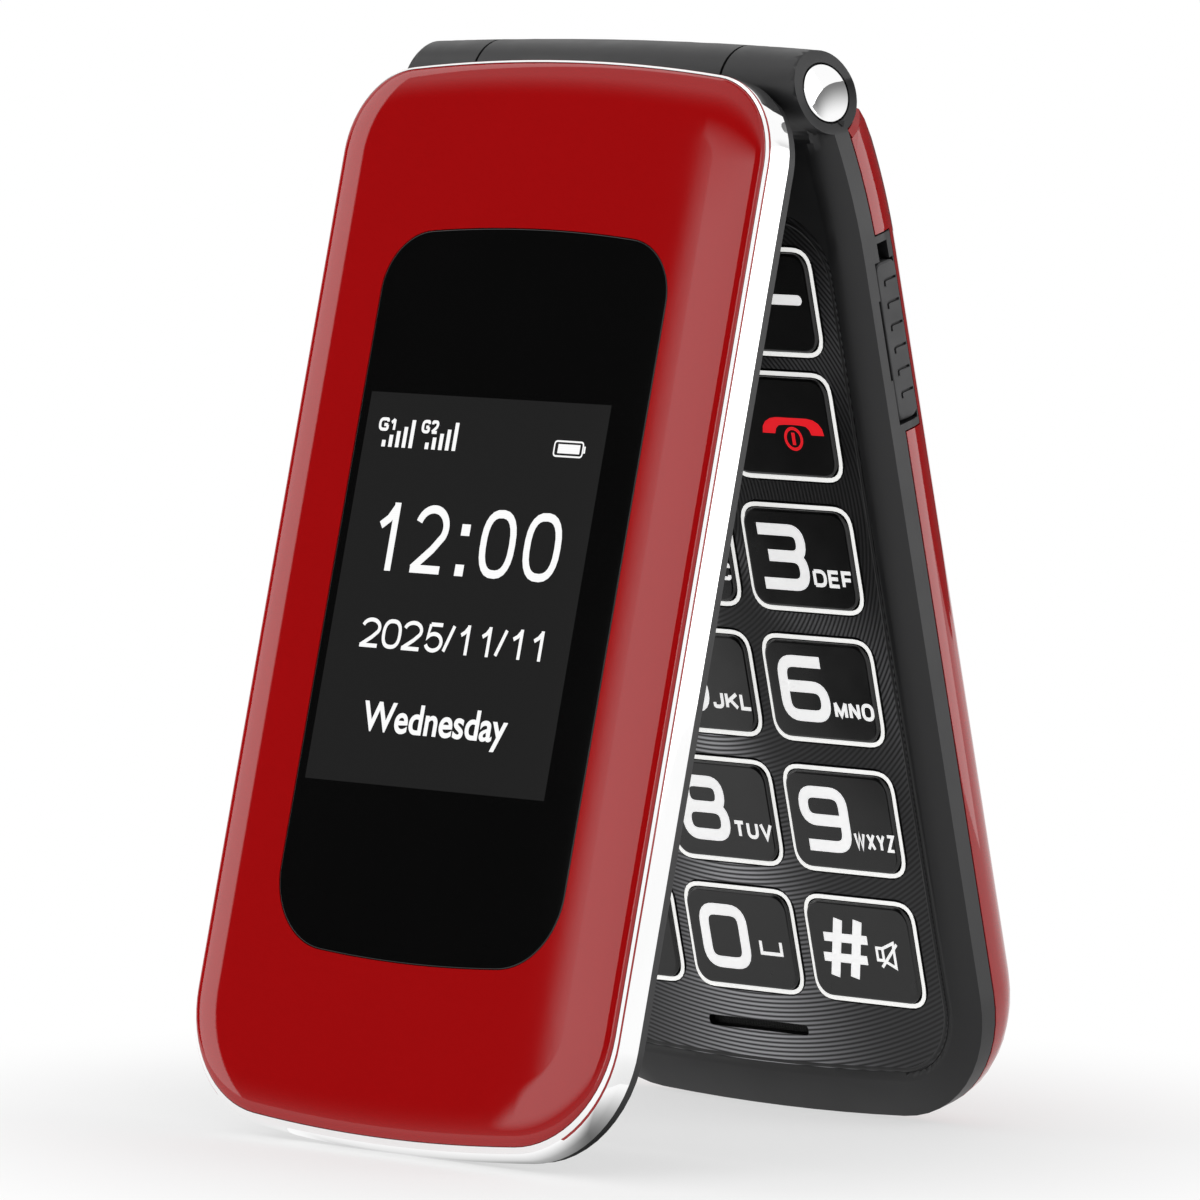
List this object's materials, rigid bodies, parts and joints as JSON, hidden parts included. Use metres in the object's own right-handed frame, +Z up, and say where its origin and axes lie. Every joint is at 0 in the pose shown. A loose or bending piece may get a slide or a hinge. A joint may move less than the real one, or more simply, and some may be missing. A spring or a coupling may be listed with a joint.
{
  "type": "flip phone",
  "caption": "Folding phone with large keys, an outer window in a red gloss lid and a barrel hinge, standing half open like a tent.",
  "frame": {"origin": "middle of the footprint, on the floor that both free ends stand on", "axes": "+Z up, +X along the hinge towards the port cover, lid on the -Y side"},
  "size_m": [0.0563, 0.0621, 0.1037],
  "materials": {
    "dark_casing": "fine spark-eroded",
    "inner_housing": "moulded",
    "red_gloss": "clear-coated gloss",
    "bright_band": "plated",
    "black_window": "back-printed clear window",
    "display": "lit screen",
    "spun_panel": "black, spun in rings",
    "white_mat": "silicone",
    "key_caps": "satin gloss",
    "black_rubber": "moulded",
    "side_key": "moulded",
    "steel": "plain",
    "battery_can": "plain sleeve",
    "contacts": "gilt",
    "circuit_board": "solder resist",
    "sound_parts": "moulded",
    "lens": "polished",
    "mesh": "woven",
    "flat_cable": "film",
    "bush": "plain"
  },
  "bodies": {
    "base": {"base_front_frame": "dark_casing", "base_rear_housing": "inner_housing", "battery": "battery_can", "battery_contacts": "contacts", "card_holder": "steel", "main_board": "circuit_board", "dome_sheet": "steel", "key_mat": "white_mat", "keypad_panel": "spun_panel", "microphone": "sound_parts", "loudspeaker": "sound_parts", "vibration_motor": "steel", "camera": "sound_parts", "camera_lens": "lens", "flash_lamp": "lens", "data_socket": "steel", "base_screws": "steel", "hinge_shaft": "steel", "hinge_pin": "steel", "hinge_cap_left": "bright_band", "hinge_cap_right": "bright_band"},
    "lid": {"lid_frame": "dark_casing", "lid_trim": "bright_band", "lid_cover": "red_gloss", "outer_window": "black_window", "outer_display": "display", "lid_board": "circuit_board", "inner_display": "display", "inner_window": "black_window", "earpiece": "sound_parts", "earpiece_mesh": "mesh", "lid_bumpers": "black_rubber", "lid_plugs": "black_rubber", "lid_magnet": "steel", "hinge_cartridge": "steel", "hinge_bush": "bush", "hinge_flex": "flat_cable"},
    "battery_cover": {"battery_cover": "red_gloss"},
    "port_cover": {"port_cover": "black_rubber"},
    "volume_key": {"volume_key": "side_key"},
    "nav_ring": {"nav_ring": "key_caps"},
    "soft_key_left": {"soft_key_left": "key_caps"},
    "soft_key_right": {"soft_key_right": "key_caps"},
    "call_key": {"call_key": "key_caps"},
    "end_key": {"end_key": "key_caps"},
    "ok_key": {"ok_key": "key_caps"},
    "key_1": {"key_1": "key_caps"},
    "key_2": {"key_2": "key_caps"},
    "key_3": {"key_3": "key_caps"},
    "key_4": {"key_4": "key_caps"},
    "key_5": {"key_5": "key_caps"},
    "key_6": {"key_6": "key_caps"},
    "key_7": {"key_7": "key_caps"},
    "key_8": {"key_8": "key_caps"},
    "key_9": {"key_9": "key_caps"},
    "key_star": {"key_star": "key_caps"},
    "key_0": {"key_0": "key_caps"},
    "key_hash": {"key_hash": "key_caps"}
  },
  "joints": [
    {"name": "lid_hinge", "type": "hinge", "parent": "base", "child": "lid", "pos_m": [0, 0.00094, 0.09921], "axis": [-1, 0, 0], "range_deg": [-27.5, 132.5]},
    {"name": "battery_cover_lift", "type": "slide", "parent": "base", "child": "battery_cover", "axis": [0, 0.9701, 0.2426], "range_m": [0, 0.012]},
    {"name": "port_cover_swing", "type": "hinge", "parent": "base", "child": "port_cover", "pos_m": [0.0272, 0.01048, 0.06933], "axis": [0, 0.9701, 0.2426], "range_deg": [0, 90], "stiffness_Nm_per_rad": 0.0003},
    {"name": "volume_key_rock", "type": "hinge", "parent": "base", "child": "volume_key", "pos_m": [-0.02655, 0.00859, 0.0769], "axis": [0, 0.9701, 0.2426], "range_deg": [-1.8, 1.8], "stiffness_Nm_per_rad": 0.2},
    {"name": "nav_ring_rock", "type": "hinge", "parent": "base", "child": "nav_ring", "pos_m": [0, 0.00566, 0.07375], "axis": [1, 0, 0], "range_deg": [-1.4, 1.4], "stiffness_Nm_per_rad": 0.3},
    {"name": "soft_key_left_press", "type": "slide", "parent": "base", "child": "soft_key_left", "axis": [0, 0.9701, 0.2426], "range_m": [0, 0.0003], "stiffness_N_per_m": 1200},
    {"name": "soft_key_right_press", "type": "slide", "parent": "base", "child": "soft_key_right", "axis": [0, 0.9701, 0.2426], "range_m": [0, 0.0003], "stiffness_N_per_m": 1200},
    {"name": "call_key_press", "type": "slide", "parent": "base", "child": "call_key", "axis": [0, 0.9701, 0.2426], "range_m": [0, 0.0003], "stiffness_N_per_m": 1200},
    {"name": "end_key_press", "type": "slide", "parent": "base", "child": "end_key", "axis": [0, 0.9701, 0.2426], "range_m": [0, 0.0003], "stiffness_N_per_m": 1200},
    {"name": "ok_key_press", "type": "slide", "parent": "base", "child": "ok_key", "axis": [0, 0.9701, 0.2426], "range_m": [0, 0.0003], "stiffness_N_per_m": 1200},
    {"name": "key_1_press", "type": "slide", "parent": "base", "child": "key_1", "axis": [0, 0.9701, 0.2426], "range_m": [0, 0.0003], "stiffness_N_per_m": 1200},
    {"name": "key_2_press", "type": "slide", "parent": "base", "child": "key_2", "axis": [0, 0.9701, 0.2426], "range_m": [0, 0.0003], "stiffness_N_per_m": 1200},
    {"name": "key_3_press", "type": "slide", "parent": "base", "child": "key_3", "axis": [0, 0.9701, 0.2426], "range_m": [0, 0.0003], "stiffness_N_per_m": 1200},
    {"name": "key_4_press", "type": "slide", "parent": "base", "child": "key_4", "axis": [0, 0.9701, 0.2426], "range_m": [0, 0.0003], "stiffness_N_per_m": 1200},
    {"name": "key_5_press", "type": "slide", "parent": "base", "child": "key_5", "axis": [0, 0.9701, 0.2426], "range_m": [0, 0.0003], "stiffness_N_per_m": 1200},
    {"name": "key_6_press", "type": "slide", "parent": "base", "child": "key_6", "axis": [0, 0.9701, 0.2426], "range_m": [0, 0.0003], "stiffness_N_per_m": 1200},
    {"name": "key_7_press", "type": "slide", "parent": "base", "child": "key_7", "axis": [0, 0.9701, 0.2426], "range_m": [0, 0.0003], "stiffness_N_per_m": 1200},
    {"name": "key_8_press", "type": "slide", "parent": "base", "child": "key_8", "axis": [0, 0.9701, 0.2426], "range_m": [0, 0.0003], "stiffness_N_per_m": 1200},
    {"name": "key_9_press", "type": "slide", "parent": "base", "child": "key_9", "axis": [0, 0.9701, 0.2426], "range_m": [0, 0.0003], "stiffness_N_per_m": 1200},
    {"name": "key_star_press", "type": "slide", "parent": "base", "child": "key_star", "axis": [0, 0.9701, 0.2426], "range_m": [0, 0.0003], "stiffness_N_per_m": 1200},
    {"name": "key_0_press", "type": "slide", "parent": "base", "child": "key_0", "axis": [0, 0.9701, 0.2426], "range_m": [0, 0.0003], "stiffness_N_per_m": 1200},
    {"name": "key_hash_press", "type": "slide", "parent": "base", "child": "key_hash", "axis": [0, 0.9701, 0.2426], "range_m": [0, 0.0003], "stiffness_N_per_m": 1200}
  ]
}
